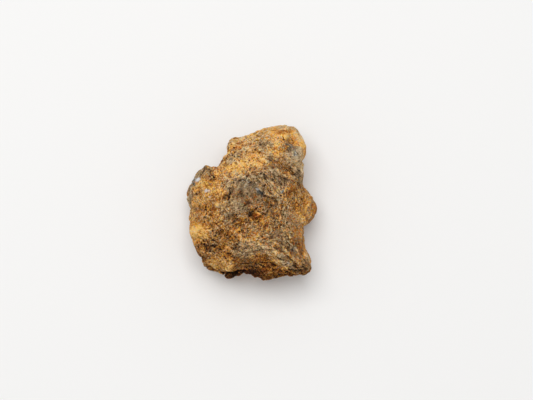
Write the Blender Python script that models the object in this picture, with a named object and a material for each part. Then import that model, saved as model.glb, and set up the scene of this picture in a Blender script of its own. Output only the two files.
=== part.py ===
"""A small weathered pallasite: one lump of rusted iron and olivine, lying on the flat break under it.

Sizes are in millimetres, and MM turns them into Blender's metres. In the plan view +X is to the right
and +Y is away from the viewer. +Z is up, and the flat break under the stone is at Z = 0.
"""

import math

import bmesh
import bpy
import numpy as np
from mathutils import Vector, noise
from mathutils.bvhtree import BVHTree

MM = 0.001

# Driving sizes of the whole stone
CROWN = 10.6
SUNK = 0.42
CROWN_AT = (0.4, 0.6)
FOOT_AT = (0.2, -0.2)

# Mesh sizes
OUTLINE_STEPS = 4
RINGS = 18
SKIN_FINENESS = 7
SKIN_MIDDLE = (0.0, 0.0, 4.6)
TRIANGLES = 9400
BEARINGS = 180
NEAR_FOOT = 0.06

# Plan outline of the main mass without its side knob, anticlockwise from the far right corner
PLAN = [
    (5.2, 9.8), (4.2, 10.0), (2.9, 9.9), (1.2, 9.4), (-0.1, 8.8), (-1.4, 8.6),  # far edge of the head
    (-2.6, 8.4), (-3.1, 7.5), (-3.1, 6.9), (-2.9, 6.4), (-3.5, 6.0), (-4.0, 5.6),  # stepped block
    (-4.2, 5.1), (-4.7, 4.7), (-5.2, 4.7), (-6.0, 5.0),  # notch behind the left shoulder
    (-6.6, 4.4), (-7.1, 4.0), (-7.6, 3.1), (-8.1, 2.2), (-8.5, 1.5),  # left shoulder
    (-8.4, 0.6), (-8.0, -1.0), (-8.2, -2.0), (-8.0, -2.9), (-8.1, -3.8),  # left side
    (-7.9, -4.5), (-7.1, -6.5), (-6.5, -7.4), (-6.2, -8.1),  # near left slope
    (-5.6, -8.7), (-4.5, -9.0), (-3.8, -9.4), (-3.1, -9.7), (-2.5, -9.4),  # near lobe
    (-1.2, -9.2), (0.0, -9.2), (0.9, -9.6), (1.8, -10.0), (3.1, -9.8),  # near lip
    (4.1, -9.5), (5.3, -9.6), (5.9, -9.4), (6.9, -9.4), (7.5, -9.0),  # under the horn
    (7.7, -8.4), (7.6, -7.5), (7.0, -6.1), (6.8, -4.7), (6.7, -3.0),  # horn and right side
    (6.6, 0.0), (6.7, 3.0), (6.7, 4.6), (6.8, 5.6), (7.0, 6.4),  # right cliff
    (7.0, 7.2), (6.7, 8.0), (6.2, 8.9), (5.8, 9.5),  # head's right corner
]
KNOB_PLAN = [
    (6.5, -3.1), (7.2, -2.9), (7.6, -2.5), (8.1, -1.9), (8.5, -1.1),
    (8.5, -0.3), (7.9, 0.7), (7.4, 1.5), (6.9, 2.1), (6.5, 2.3),
]

# Bearing in degrees (0 is +X, 90 is +Y), height of the widest line, and how square the section is
# above and below that line: 2 is an ellipse, and more is nearer to a cliff
SECTIONS = [
    (0, 5.2, 3.0, 2.2),
    (35, 6.0, 2.9, 2.3),
    (62, 5.6, 2.8, 2.4),
    (90, 4.8, 2.3, 2.2),
    (112, 5.2, 2.6, 2.6),
    (138, 4.4, 2.2, 2.2),
    (170, 4.2, 2.5, 2.0),
    (205, 4.2, 2.5, 2.0),
    (238, 3.8, 2.4, 2.1),
    (268, 3.9, 3.6, 2.4),
    (308, 4.1, 3.4, 2.4),
    (335, 4.8, 3.0, 2.2),
]

# Lumps fused to the main mass: centre, radii, turn about Z in degrees
LUMPS = {
    "knob": ((6.75, -0.7, 4.3), (1.75, 2.0, 2.0), 16),
    "knob root": ((5.6, 0.3, 3.6), (2.2, 2.6, 2.4), 0),
    "far block": ((-1.9, 7.3, 5.0), (1.5, 1.4, 1.7), 20),
    "left shoulder": ((-6.6, 2.2, 4.8), (1.8, 2.4, 2.2), -15),
    "near lobe": ((-4.4, -7.4, 3.9), (2.4, 2.0, 2.0), -15),
    "horn": ((6.0, -7.9, 4.6), (2.0, 1.3, 1.8), -30),
}

# Flat chips broken off the mass: bearing and tilt up from level, in degrees, and the plane's distance
# from the stone's middle
CHIPS = [
    (168, 46, 7.6),
    (208, 50, 7.6),
    (234, 40, 9.3),
    (140, 44, 7.5),
    (98, 52, 8.2),
    (58, 40, 10.0),
    (20, 44, 7.7),
    (345, 42, 7.7),
    (320, 52, 8.3),
    (284, 46, 9.6),
    (14, -40, 6.3),
    (58, -44, 7.4),
    (98, -44, 7.2),
    (148, -38, 7.3),
    (190, -42, 7.0),
    (228, -42, 7.2),
    (268, -46, 7.0),
    (310, -44, 7.3),
    (340, -44, 6.9),
]
CHIP_LEFT = 0.2

# Forms of the upper side, in plan: middle, half sizes along and across, turn in degrees, and how far
# the surface is raised, or sunk where it is negative
RELIEF = {
    "head": ((3.6, 7.4), (3.4, 2.2), 5, 0.45),
    "head dimple": ((5.0, 7.4), (0.7, 1.1), 15, -0.7),
    "head loop": ((1.5, 7.6), (1.3, 0.6), 5, -0.5),
    "head grey facet": ((5.5, 6.2), (0.8, 0.7), -30, 0.3),
    "cleft under the head": ((3.6, 4.9), (2.8, 0.6), -16, -0.8),
    "right cleft": ((5.9, 4.0), (0.7, 1.3), -10, -0.5),
    "right crown": ((4.6, 1.6), (1.7, 2.4), 8, 0.4),
    "bright slope": ((-0.2, 5.6), (2.6, 1.0), 18, 0.4),
    "middle hollow": ((-0.4, 1.7), (2.5, 1.4), -35, -0.6),
    "middle ridge": ((0.0, 2.9), (2.1, 0.45), -27, 0.4),
    "left boss": ((-5.3, 1.3), (1.5, 1.5), 0, 0.45),
    "shoulder groove": ((-4.1, 3.4), (0.6, 1.7), -35, -0.45),
    "left pit row": ((-4.6, -0.9), (2.2, 0.6), 5, -0.45),
    "near left boss": ((-7.1, -3.4), (1.2, 1.1), -20, 0.6),
    "near left trough": ((-5.6, -5.0), (1.7, 0.6), -8, -0.55),
    "near left trough's end": ((-2.9, -5.9), (1.3, 0.55), -24, -0.4),
    "near slab": ((-3.8, -7.7), (2.3, 0.9), -12, 0.45),
    "centre saddle": ((0.3, -1.6), (1.4, 1.1), 40, -0.45),
    "centre boss": ((-1.9, -2.6), (1.4, 1.0), 10, 0.35),
    "near ridge": ((0.6, -5.6), (3.0, 0.9), -16, 0.45),
    "horn ridge": ((4.9, -7.4), (2.6, 0.7), -34, 0.45),
    "groove over the horn ridge": ((4.6, -5.8), (2.2, 0.6), -42, -0.4),
    "right ridge": ((5.6, -4.4), (1.9, 0.5), -48, 0.4),
    "near hollow": ((0.6, -8.5), (2.7, 1.0), -6, -0.8),
}

# How far the weathering stands out
LEDGES = 0.75
LEDGE_STEPS = 3
LARGE_GRAINS = 0.42
SMALL_GRAINS = 0.2
PITTING = 0.14

CRUST_COLOUR = (0.310, 0.168, 0.065)


def smooth_closed(points, steps):
    """Points of a closed Catmull-Rom curve through the given ones."""
    through = np.array(points, float)
    before = np.roll(through, 1, axis=0)
    after = np.roll(through, -1, axis=0)
    beyond = np.roll(through, -2, axis=0)
    made = []
    for t in np.arange(steps) / steps:
        made.append(
            0.5
            * (
                2 * through
                + (after - before) * t
                + (2 * before - 5 * through + 4 * after - beyond) * t**2
                + (3 * through - before - 3 * after + beyond) * t**3
            )
        )
    return np.stack(made, axis=1).reshape(-1, 2)


def rounded(outline, passes):
    """The outline with its small notches rubbed away."""
    for _ in range(passes):
        outline = outline / 2 + (np.roll(outline, 1, axis=0) + np.roll(outline, -1, axis=0)) / 4
    return outline


def section_at(bearing):
    """Height of the widest line and the two squarenesses, blended round the compass."""
    table = np.array(SECTIONS, float)
    table = np.vstack([table, table[:1] + [360, 0, 0, 0]])
    found = np.degrees(bearing) % 360
    return [np.interp(found, table[:, 0], table[:, column]) for column in (1, 2, 3)]


def chipped(spots):
    """The spots with what lies past each chip's plane brought nearly back to it."""
    middle = np.array((0.0, 0.0, CROWN / 2))
    for bearing, tilt, distance in CHIPS:
        turn, rise = math.radians(bearing), math.radians(tilt)
        way = np.array((math.cos(turn) * math.cos(rise), math.sin(turn) * math.cos(rise), math.sin(rise)))
        past = np.maximum((spots - middle) @ way - distance, 0)
        spots = spots - np.outer(past * (1 - CHIP_LEFT), way)
    return spots


def main_mass():
    """The body as rings from the underside up to the crown. Notches fade away from the widest line."""
    plan = smooth_closed(PLAN, OUTLINE_STEPS)
    broad = rounded(plan, 150)
    edge, above, below = section_at(np.arctan2(plan[:, 1], plan[:, 0]))
    bm = bmesh.new()
    rings = []
    for row in range(1, 2 * RINGS):
        turn = math.pi * (row / (2 * RINGS)) - math.pi / 2
        flat, tall = math.cos(turn), math.sin(turn)
        squareness = above if tall > 0 else below
        middle = CROWN_AT if tall > 0 else FOOT_AT
        reach = (np.abs(flat) ** (2 / squareness))[:, None]
        lift = np.sign(tall) * np.abs(tall) ** (2 / squareness)
        detail = reach**5
        ring = (plan * detail + broad * (1 - detail)) * reach + np.array(middle) * (1 - reach)
        height = edge + lift * np.where(tall > 0, CROWN - edge, edge + SUNK)
        spots = chipped(np.column_stack([ring, height]))
        rings.append([bm.verts.new(Vector(spot) * MM) for spot in spots])
    for lower, upper in zip(rings, rings[1:]):
        for i in range(len(plan)):
            j = (i + 1) % len(plan)
            bm.faces.new((lower[i], lower[j], upper[j], upper[i]))
    bm.faces.new(list(reversed(rings[0])))
    bm.faces.new(rings[-1])
    return bm


def add_lumps(bm):
    """Each lump as a rounded ball that reaches into the body, which the skin then fuses."""
    for centre, radii, turn in LUMPS.values():
        made = bmesh.ops.create_icosphere(bm, subdivisions=3, radius=1.0)
        cos, sin = math.cos(math.radians(turn)), math.sin(math.radians(turn))
        for vert in made["verts"]:
            x, y, z = (c * r for c, r in zip(vert.co, radii))
            vert.co = (Vector((x * cos - y * sin, x * sin + y * cos, z)) + Vector(centre)) * MM


def one_skin(bm):
    """A ball of even faces drawn down onto the outermost shapes, which fuses them into one surface."""
    shapes = BVHTree.FromBMesh(bm)
    bm.free()
    skin = bmesh.new()
    bmesh.ops.create_icosphere(skin, subdivisions=SKIN_FINENESS, radius=1.0)
    middle = Vector(SKIN_MIDDLE) * MM
    for vert in skin.verts:
        way = vert.co.normalized()
        hit, _, _, _ = shapes.ray_cast(middle + way * 40 * MM, -way)
        vert.co = hit
    return skin


def thinned(bm):
    """The surface with fewer triangles where it is nearly flat, as a new bmesh."""
    dense = bpy.data.meshes.new("dense")
    bm.to_mesh(dense)
    ratio = TRIANGLES / len(bm.faces)
    bm.free()
    holder = bpy.data.objects.new("dense", dense)
    bpy.context.scene.collection.objects.link(holder)
    holder.modifiers.new("thin", "DECIMATE").ratio = ratio
    graph = bpy.context.evaluated_depsgraph_get()
    made = bmesh.new()
    made.from_object(holder, graph)
    bpy.data.objects.remove(holder)
    bpy.data.meshes.remove(dense)
    return made


def places(bm):
    """Vertex places in millimetres, and the directions they face."""
    bm.normal_update()
    spots = np.array([v.co for v in bm.verts]) / MM
    facing = np.array([v.normal for v in bm.verts])
    return spots, facing


def put(bm, spots):
    for vert, spot in zip(bm.verts, spots):
        vert.co = Vector(spot) * MM


def rub(bm, passes):
    """Rounds the corners that the shapes leave where they meet."""
    for _ in range(passes):
        bmesh.ops.smooth_vert(
            bm, verts=bm.verts, factor=0.5, use_axis_x=True, use_axis_y=True, use_axis_z=True
        )


def raise_forms(bm):
    """The bosses, hollows and ridges of the upper side."""
    spots, facing = places(bm)
    upward = np.clip((facing[:, 2] + 0.1) / 0.7, 0, 1)
    change = np.zeros(len(spots))
    for middle, half, turn, height in RELIEF.values():
        cos, sin = math.cos(math.radians(turn)), math.sin(math.radians(turn))
        off = spots[:, :2] - np.array(middle)
        along = (off[:, 0] * cos + off[:, 1] * sin) / half[0]
        across = (-off[:, 0] * sin + off[:, 1] * cos) / half[1]
        change += height * np.exp(-(along**2) - across**2)
    put(bm, spots + facing * (change * upward)[:, None])


def wander(place):
    """A smooth random direction that shifts the grain edges off straight lines."""
    apart = Vector((31.4, 7.2, 18.9))
    return Vector((noise.noise(place), noise.noise(place + apart), noise.noise(place - apart)))


def facets(place, size):
    """How far a spot stands out on broken grains of this size: each grain is a plane of its own tilt."""
    spot = place / size + wander(place / size * 0.8) * 0.35
    near, points = noise.voronoi(spot)
    tilt = noise.cell_vector(points[0] * 7.3 + Vector((0.5, 0.5, 0.5)))
    groove = min(near[1] - near[0], 0.3) / 0.3 - 0.7
    return (spot - points[0]).dot(tilt) * 0.9 + groove * 0.45


def ledges(place):
    """A broad swell worn into steps."""
    rise = noise.fractal(place / 4.2 + Vector((3.1, 7.7, 1.3)), 1.0, 2.0, 3) * LEDGE_STEPS
    part = rise - math.floor(rise)
    return (math.floor(rise) + min(max((part - 0.35) / 0.3, 0), 1) * 0.7 + part * 0.3) / LEDGE_STEPS


def weather(bm):
    """Ledges, then broken grains of two sizes, then pitting, all fading towards the flat break."""
    spots, facing = places(bm)
    change = np.empty(len(spots))
    for i, spot in enumerate(spots):
        place = Vector(spot)
        change[i] = ledges(place) * LEDGES
        change[i] += facets(place, 2.4) * LARGE_GRAINS
        change[i] += facets(place + Vector((9.0, 4.0, 2.0)), 1.15) * SMALL_GRAINS
        change[i] += noise.fractal(place / 0.9, 0.9, 2.1, 3) * PITTING
    change *= np.clip((spots[:, 2] + 0.7) / 1.6, 0.3, 1)
    put(bm, spots + facing * change[:, None])


def reach_round(points):
    """Farthest distance from the middle for each of the equal bearings, with gaps filled."""
    bearing = np.arctan2(points[:, 1], points[:, 0]) / (2 * math.pi) % 1 * BEARINGS
    far = np.zeros(BEARINGS)
    np.maximum.at(far, bearing.astype(int) % BEARINGS, np.hypot(points[:, 0], points[:, 1]))
    known = np.flatnonzero(far)
    return np.interp(np.arange(BEARINGS), known, far[known], period=BEARINGS)


def fit_plan(bm, passes):
    """Draws the outermost surface out or in to the plan outline and the knob's own outline."""
    whole = [smooth_closed(PLAN, 24)]
    for start, end in zip(np.array(KNOB_PLAN), np.array(KNOB_PLAN)[1:]):
        whole.append(start + (end - start) * np.linspace(0, 1, 12)[:, None])
    wanted = reach_round(np.vstack(whole))
    for _ in range(passes):
        spots, _ = places(bm)
        found = reach_round(spots)
        bearing = np.arctan2(spots[:, 1], spots[:, 0]) / (2 * math.pi) % 1 * BEARINGS - 0.5
        centres = np.arange(BEARINGS)
        ratio = wanted / found
        ratio = ratio / 2 + (np.roll(ratio, 1) + np.roll(ratio, -1)) / 4
        scale = np.interp(bearing, centres, ratio, period=BEARINGS)
        outer = np.hypot(spots[:, 0], spots[:, 1]) / np.interp(bearing, centres, found, period=BEARINGS)
        share = np.clip((outer - 0.72) / 0.2, 0, 1) ** 2
        spots[:, :2] *= (1 + (scale - 1) * share)[:, None]
        put(bm, spots)


def cut_foot(bm):
    """The flat break under the stone at Z = 0, closed by one flat face."""
    for vert in bm.verts:
        if abs(vert.co.z) < NEAR_FOOT * MM:
            vert.co.z = 0
    everything = bm.verts[:] + bm.edges[:] + bm.faces[:]
    bmesh.ops.bisect_plane(
        bm, geom=everything, dist=1e-7, plane_co=(0, 0, 0), plane_no=(0, 0, -1), clear_outer=True
    )
    rim = [edge for edge in bm.edges if edge.is_boundary]
    bmesh.ops.holes_fill(bm, edges=rim)
    bmesh.ops.triangulate(bm, faces=bm.faces)


def centre(bm):
    """Puts the middle of the stone's box over the origin."""
    spots, _ = places(bm)
    spots[:, :2] -= (spots[:, :2].min(axis=0) + spots[:, :2].max(axis=0)) / 2
    put(bm, spots)
    print("size in mm", np.ptp(spots, axis=0).round(2))


def crust():
    """Rusted iron with ochre staining, dull and uneven."""
    material = bpy.data.materials.new("crust")
    material.use_nodes = True
    shader = material.node_tree.nodes["Principled BSDF"]
    shader.inputs["Base Color"].default_value = (*CRUST_COLOUR, 1)
    shader.inputs["Roughness"].default_value = 0.78
    shader.inputs["Metallic"].default_value = 0.1
    return material


def build():
    bm = main_mass()
    add_lumps(bm)
    bm = one_skin(bm)
    rub(bm, 6)
    raise_forms(bm)
    weather(bm)
    rub(bm, 3)
    fit_plan(bm, 3)
    bm = thinned(bm)
    cut_foot(bm)
    centre(bm)
    mesh = bpy.data.meshes.new("meteorite")
    bm.to_mesh(mesh)
    bm.free()
    mesh.shade_smooth()
    mesh.materials.append(crust())
    stone = bpy.data.objects.new("meteorite", mesh)
    bpy.context.scene.collection.objects.link(stone)
    print(len(mesh.polygons), "triangles")


for old in list(bpy.data.objects):
    bpy.data.objects.remove(old)
build()
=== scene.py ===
# %% [markdown]
# # A small pallasite meteorite
# A pallasite is a stony-iron meteorite: nickel-iron with grains of olivine in it. This one has lain in
# the ground, so the iron has rusted and the whole lump wears a crust of ochre and brown iron oxides.
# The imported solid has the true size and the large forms. It is loaded first and stays where it is.

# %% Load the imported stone
import math

import bpy
import numpy as np
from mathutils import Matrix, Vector, noise


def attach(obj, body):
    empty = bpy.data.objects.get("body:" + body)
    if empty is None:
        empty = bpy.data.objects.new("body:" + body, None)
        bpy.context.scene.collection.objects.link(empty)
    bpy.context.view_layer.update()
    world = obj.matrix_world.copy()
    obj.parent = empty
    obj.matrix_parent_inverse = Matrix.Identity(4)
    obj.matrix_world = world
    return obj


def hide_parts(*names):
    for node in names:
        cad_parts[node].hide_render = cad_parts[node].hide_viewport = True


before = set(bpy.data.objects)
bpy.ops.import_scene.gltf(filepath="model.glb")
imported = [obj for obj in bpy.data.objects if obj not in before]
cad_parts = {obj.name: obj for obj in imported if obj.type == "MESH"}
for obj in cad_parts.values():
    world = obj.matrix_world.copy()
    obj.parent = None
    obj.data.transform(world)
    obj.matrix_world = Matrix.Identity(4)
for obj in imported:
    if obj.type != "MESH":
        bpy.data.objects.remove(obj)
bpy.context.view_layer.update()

MM = 0.001
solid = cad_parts["meteorite"]

# %% [markdown]
# ## A fine and even skin
# The solid has about nine thousand triangles of many sizes. Grains of a quarter of a millimetre need
# small faces of one size. Subdividing would only split the uneven triangles, so a voxel remesh lays new
# quads of one size over the same shape.

# %% Remesh a copy of the solid
SKIN_STEP = 0.118 * MM


def even_skin(source, step):
    """A new mesh over the same shape, with quads of about one size."""
    holder = bpy.data.objects.new("holder", source.data.copy())
    bpy.context.scene.collection.objects.link(holder)
    remesh = holder.modifiers.new("even quads", "REMESH")
    remesh.mode = "VOXEL"
    remesh.voxel_size = step
    graph = bpy.context.evaluated_depsgraph_get()
    made = bpy.data.meshes.new_from_object(holder.evaluated_get(graph))
    bpy.data.objects.remove(holder)
    return made


skin = even_skin(solid, SKIN_STEP)
skin.name = "stone"
stone = bpy.data.objects.new("stone", skin)
bpy.context.scene.collection.objects.link(stone)
print("skin of", len(skin.polygons), "quads")

# %% [markdown]
# ## Vertices as numbers
# Some hundred thousand vertices are slow to move one by one in a Python loop. Read into arrays, they are
# moved together. Smoothing needs each vertex's neighbours, and the list of edges names them.

# %% Read the skin into arrays
edges = np.empty(len(skin.edges) * 2, np.int32)
skin.edges.foreach_get("vertices", edges)
edges = edges.reshape(-1, 2)
neighbours = np.bincount(edges.ravel(), minlength=len(skin.vertices))
print(len(skin.vertices), "vertices and", len(edges), "edges")


def spots_of(mesh):
    """Vertex places in millimetres."""
    flat = np.empty(len(mesh.vertices) * 3)
    mesh.vertices.foreach_get("co", flat)
    return flat.reshape(-1, 3) / MM


def facing_of(mesh):
    """The direction that each vertex faces."""
    flat = np.empty(len(mesh.vertices) * 3)
    mesh.vertices.foreach_get("normal", flat)
    return flat.reshape(-1, 3)


def put(mesh, spots):
    """Moves the vertices to these places in millimetres."""
    mesh.vertices.foreach_set("co", (spots * MM).astype(np.float32).ravel())
    mesh.update()


def spread(values, passes):
    """Each value drawn half way to the mean of its neighbours, a number of times."""
    columns = values.reshape(len(values), -1).astype(float)
    for _ in range(passes):
        for c in range(columns.shape[1]):
            near = np.bincount(edges[:, 0], columns[edges[:, 1], c], len(values))
            near += np.bincount(edges[:, 1], columns[edges[:, 0], c], len(values))
            columns[:, c] = columns[:, c] / 2 + near / neighbours / 2
    return columns.reshape(values.shape)


def rise(values, start, end):
    """0 up to the start, 1 from the end on, and a straight climb between them."""
    return np.clip((values - start) / (end - start), 0, 1)


# %% [markdown]
# ## Soft swellings
# On a few places of the outline the stone bulges a little more than the solid: the ledge under the near
# slab, the near tongue, the near left corner and the knob's upper side. Each one is a soft push on the
# smooth skin, before any grain is laid on it. A raised line would leave a sharp fin there instead.

# %% Smooth the skin and push the swellings out
# The relief that follows fades in over the foot's height in mm, so the break it lies on stays flat
FOOT_HEIGHT = 0.5
SMOOTHING_PASSES = 4

foot_share = rise(spots_of(skin)[:, 2], 0, FOOT_HEIGHT)
smooth = spread(spots_of(skin), SMOOTHING_PASSES)

# Name: middle (x, y, z) in mm, half sizes in mm, push in mm
SWELLINGS = {
    "ledge under the slab": ((-2.3, -9.2, 4.6), (1.5, 0.8, 1.3), (0.0, -0.36, 0.0)),
    "near tongue's left end": ((0.1, -9.5, 5.0), (0.8, 0.8, 2.0), (0.0, -0.2, 0.0)),
    "near tongue": ((1.8, -9.6, 5.5), (2.4, 0.8, 2.5), (0.0, -0.22, 0.0)),
    "near left corner": ((-5.6, -8.3, 4.8), (0.9, 0.9, 2.0), (-0.05, -0.12, 0.0)),
    "knob's upper side": ((7.5, 1.5, 6.0), (0.7, 0.9, 2.5), (0.15, 0.08, 0.0)),
}
for middle, half, push in SWELLINGS.values():
    gap = np.linalg.norm((smooth - middle) / half, axis=1)
    smooth += np.exp(-(gap**2))[:, None] * push
smooth[:, 2] = np.maximum(smooth[:, 2], 0)
put(skin, smooth)
print("skin smoothed, with", len(SWELLINGS), "swellings")

# %% [markdown]
# ## Crests and cracks
# On the upper side a few long forms lead the eye: the rim over the near hollow, the parallel crests that
# run down to the horn, the rim of the grey hollow in the middle, and some open cracks. Each one is a line
# of points given in plan, and the skin near it is raised or sunk. Sculpting by hand would do the
# same, but a list of named lines can be read and changed.

# %% Tell the upper side from the rest
# Named lines and zones belong to the upper side: they fade in over these heights in mm and these tilts,
# where a tilt is the upward part of the facing direction, 0 on an upright wall and 1 on a level top
UPPER_HEIGHTS = (1.8, 3.2)
UPPER_TILTS = (-0.4, -0.1)

spots = spots_of(skin)
facing = facing_of(skin)
upper = rise(spots[:, 2], *UPPER_HEIGHTS) * rise(facing[:, 2], *UPPER_TILTS)
print("the upper side is", upper.mean().round(2), "of the skin")

# %% Name the lines
# Name: height in mm (sunk where negative), half width in mm, points (x, y) in mm
LINES = {
    "rim of the near hollow": (
        0.3, 0.4, [(-2.4, -6.8), (-0.3, -6.7), (0.9, -6.1), (2.5, -7.1), (4.2, -8.2), (5.5, -9.1)]
    ),
    "second crest": (0.22, 0.22, [(1.6, -6.0), (3.2, -7.0), (4.6, -8.0), (5.8, -8.7)]),
    "third crest": (0.24, 0.25, [(2.6, -5.4), (4.0, -6.3), (5.4, -7.6), (6.5, -8.6)]),
    "horn crest": (0.22, 0.25, [(4.8, -5.4), (5.7, -6.6), (6.8, -7.9), (7.2, -8.6)]),
    "grey hollow's rim": (0.14, 0.22, [(-2.1, 3.1), (-0.6, 2.8), (0.5, 2.3), (1.2, 1.3), (2.1, 0.5)]),
    "rim of the left flat": (
        0.2, 0.3, [(-3.8, 4.2), (-3.3, 2.6), (-3.1, 1.2), (-3.4, -0.2), (-4.4, -0.9)]
    ),
    "head loop": (
        0.14, 0.2, [(0.3, 7.6), (0.9, 8.0), (1.9, 7.9), (2.5, 7.3), (1.9, 6.8), (0.8, 6.9), (0.3, 7.6)]
    ),
    "upper layer of the step": (0.14, 0.14, [(-2.9, 7.0), (-2.0, 7.6), (-0.9, 8.1)]),
    "middle layer of the step": (0.16, 0.14, [(-2.9, 6.3), (-1.9, 6.9), (-0.7, 7.4)]),
    "lower layer of the step": (0.16, 0.16, [(-3.7, 5.6), (-2.4, 6.1), (-1.2, 6.6)]),
    "crest over the band": (0.18, 0.25, [(-7.4, -4.2), (-6.2, -4.9), (-4.6, -5.0), (-3.0, -5.4)]),
    "edge of the slab": (0.2, 0.25, [(-5.7, -7.7), (-4.6, -8.4), (-3.2, -8.8), (-2.3, -8.6)]),
    "gap under the slab": (
        -0.5, 0.2, [(-5.9, -8.3), (-4.7, -9.0), (-3.1, -9.35), (-2.0, -9.2), (-1.0, -9.2)]
    ),
    "grey hollow's crack": (-0.28, 0.13, [(0.9, 2.2), (1.5, 1.4), (1.3, 0.6), (2.2, 0.1), (3.0, -0.1)]),
    "left crack": (-0.22, 0.12, [(-6.1, -2.1), (-5.3, -2.6), (-4.5, -3.0), (-3.6, -2.9)]),
    "upper left crack": (-0.22, 0.12, [(-5.9, 4.3), (-5.2, 3.6), (-4.8, 2.8)]),
    "cleft crack": (-0.1, 0.15, [(1.9, 5.2), (3.1, 5.0), (4.2, 4.4), (5.0, 3.5), (5.9, 3.0)]),
    "side crack": (-0.2, 0.14, [(6.1, 2.3), (5.6, 1.2), (5.9, 0.0), (5.7, -1.4), (5.9, -2.6)]),
    "groove by the horn": (-0.22, 0.16, [(3.2, -6.2), (4.6, -7.2), (5.7, -8.3)]),
    "middle crack": (-0.16, 0.12, [(-2.2, -3.6), (-1.0, -3.1), (0.2, -3.3), (1.4, -2.6), (2.0, -1.6)]),
    "band crack": (-0.08, 0.16, [(-7.2, -5.2), (-5.8, -5.8), (-4.2, -5.9), (-3.3, -6.4)]),
}
print(len(LINES), "lines of relief")


# %% Helpers for noise and for lines
def cloud(points, size, octaves, seed=0.0, rough=0.5):
    """Plain noise from about -1 to 1, with its largest swells of this size in millimetres."""
    shift = Vector((seed, -seed, seed / 2))
    fade = -math.log2(rough)
    return np.array([noise.fractal(Vector(p) / size + shift, fade, 2.0, octaves) for p in points])


def off_line(points, line):
    """How far each point is in plan from a line, and the line's direction at its nearest point."""
    nearest = np.full(len(points), np.inf)
    course = np.zeros((len(points), 3))
    for start, end in zip(np.array(line), np.array(line)[1:]):
        along = end - start
        share = np.clip((points[:, :2] - start) @ along / (along @ along), 0, 1)
        gap = np.linalg.norm(points[:, :2] - start - share[:, None] * along, axis=1)
        closer = gap < nearest
        nearest[closer] = gap[closer]
        course[closer, :2] = along / np.linalg.norm(along)
    return nearest, course


# %% Work the lines out on the skin
# A line or zone laid at shaken places gets a ragged edge. The shake is in mm, and lines take a share of it
SHAKE = 0.45
SHAKE_SEEDS = (2.0, 14.0, 27.0)
LINE_SHARE = 0.45

shaken = spots.copy()
for axis, seed in enumerate(SHAKE_SEEDS):
    shaken[:, axis] += cloud(spots, 1.0, 3, seed, 0.6) * SHAKE

lines = np.zeros(len(spots))
for height, half_width, line in LINES.values():
    gap, _ = off_line(spots + (shaken - spots) * LINE_SHARE, line)
    lines += height * np.exp(-((gap / half_width) ** 2))
print("lines from", lines.min().round(2), "to", lines.max().round(2), "mm")

# %% [markdown]
# ## The run of the grain
# The crust isn't plain dust: fine veins of oxide run through it, straight along the crests and in curls
# elsewhere. A field of directions over the skin is made from named strokes and a slow swirl, and noise is
# averaged along it, which draws it out. The veins stay about a millimetre long: longer ones look like hair.

# %% Name the strokes that the veins follow
# Name: reach in mm, points (x, y) in mm
STROKES = {
    "horn": (1.3, [(1.2, -5.6), (3.0, -6.9), (5.0, -8.4), (6.6, -9.0)]),
    "horn's upper side": (1.0, [(3.6, -3.6), (5.0, -5.4), (6.6, -7.4)]),
    "bowl": (1.0, [(-2.6, -4.6), (-1.5, -5.8), (-0.2, -6.3), (1.3, -5.5), (2.4, -4.6)]),
    "step": (0.9, [(-3.1, 6.8), (-1.8, 7.3), (-0.5, 8.0), (1.6, 8.9)]),
    "head loop": (0.7, [(0.2, 7.3), (1.2, 8.1), (2.5, 7.6), (2.2, 6.9), (0.9, 6.7), (0.2, 7.3)]),
    "grey hollow": (1.1, [(-2.6, -0.3), (-1.5, 1.6), (0.0, 2.9), (1.3, 2.7), (2.1, 1.4)]),
    "knob": (1.1, [(7.3, 1.4), (7.7, -0.3), (7.0, -2.5)]),
    "near hollow": (0.9, [(-2.0, -7.7), (0.4, -8.0), (2.6, -8.5)]),
    "band": (0.9, [(-7.2, -4.6), (-5.2, -5.5), (-2.6, -6.1)]),
    "cleft": (0.9, [(2.1, 5.6), (4.3, 4.5), (6.3, 4.0)]),
    "right body": (1.1, [(3.4, 3.0), (4.1, 0.4), (3.7, -2.5)]),
    "head flank": (0.8, [(6.0, 8.8), (6.6, 7.0), (6.7, 5.5)]),
}
print(len(STROKES), "strokes")

# %% Helpers for the flow and for the veins
# The swirl's size in mm, how hard swirl and strokes pull, and how many samples make a vein
SWIRL_SIZE = 2.4
PULL = 1.5
SAMPLES = 7


def wander(place):
    """A smooth random shift, made of three separate noises."""
    apart = Vector((31.4, 7.2, 18.9))
    return Vector((noise.noise(place), noise.noise(place + apart), noise.noise(place - apart)))


def flow_of(points, facing):
    """The direction that the veins take along the skin, and how close a stroke is, from 0 to 1."""
    close = np.zeros(len(points))
    swirl = np.array([wander(Vector(p) / SWIRL_SIZE) for p in points])
    course = np.cross(facing, swirl) * PULL
    for reach, line in STROKES.values():
        gap, stroke = off_line(points, line)
        stroke -= facing * (stroke * facing).sum(axis=1, keepdims=True)
        stroke *= np.where((stroke * course).sum(axis=1) < 0, -1, 1)[:, None]
        pull = np.exp(-((gap / reach) ** 2))
        course += stroke * pull[:, None] * PULL
        close = np.maximum(close, pull)
    return course / np.maximum(np.linalg.norm(course, axis=1, keepdims=True), 1e-6), close


def fibres(points, flow, size, length, seed):
    """Noise drawn out along the flow, scaled to a spread of 1. Both sizes are in millimetres."""
    total = np.zeros(len(points))
    for reach in np.linspace(-length / 2, length / 2, SAMPLES):
        places = (points + flow * reach) / size + seed
        total += np.array([noise.noise(Vector(p)) for p in places])
    return total / total.std()


# %% Draw the veins out
# Width and length in mm. They show in full along the strokes, less in patches, and faintly elsewhere
FINE_VEIN = (0.19, 0.5)
LONG_VEIN = (0.36, 1.3)
FAINT = 0.25
IN_PATCHES = 0.4

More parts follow.
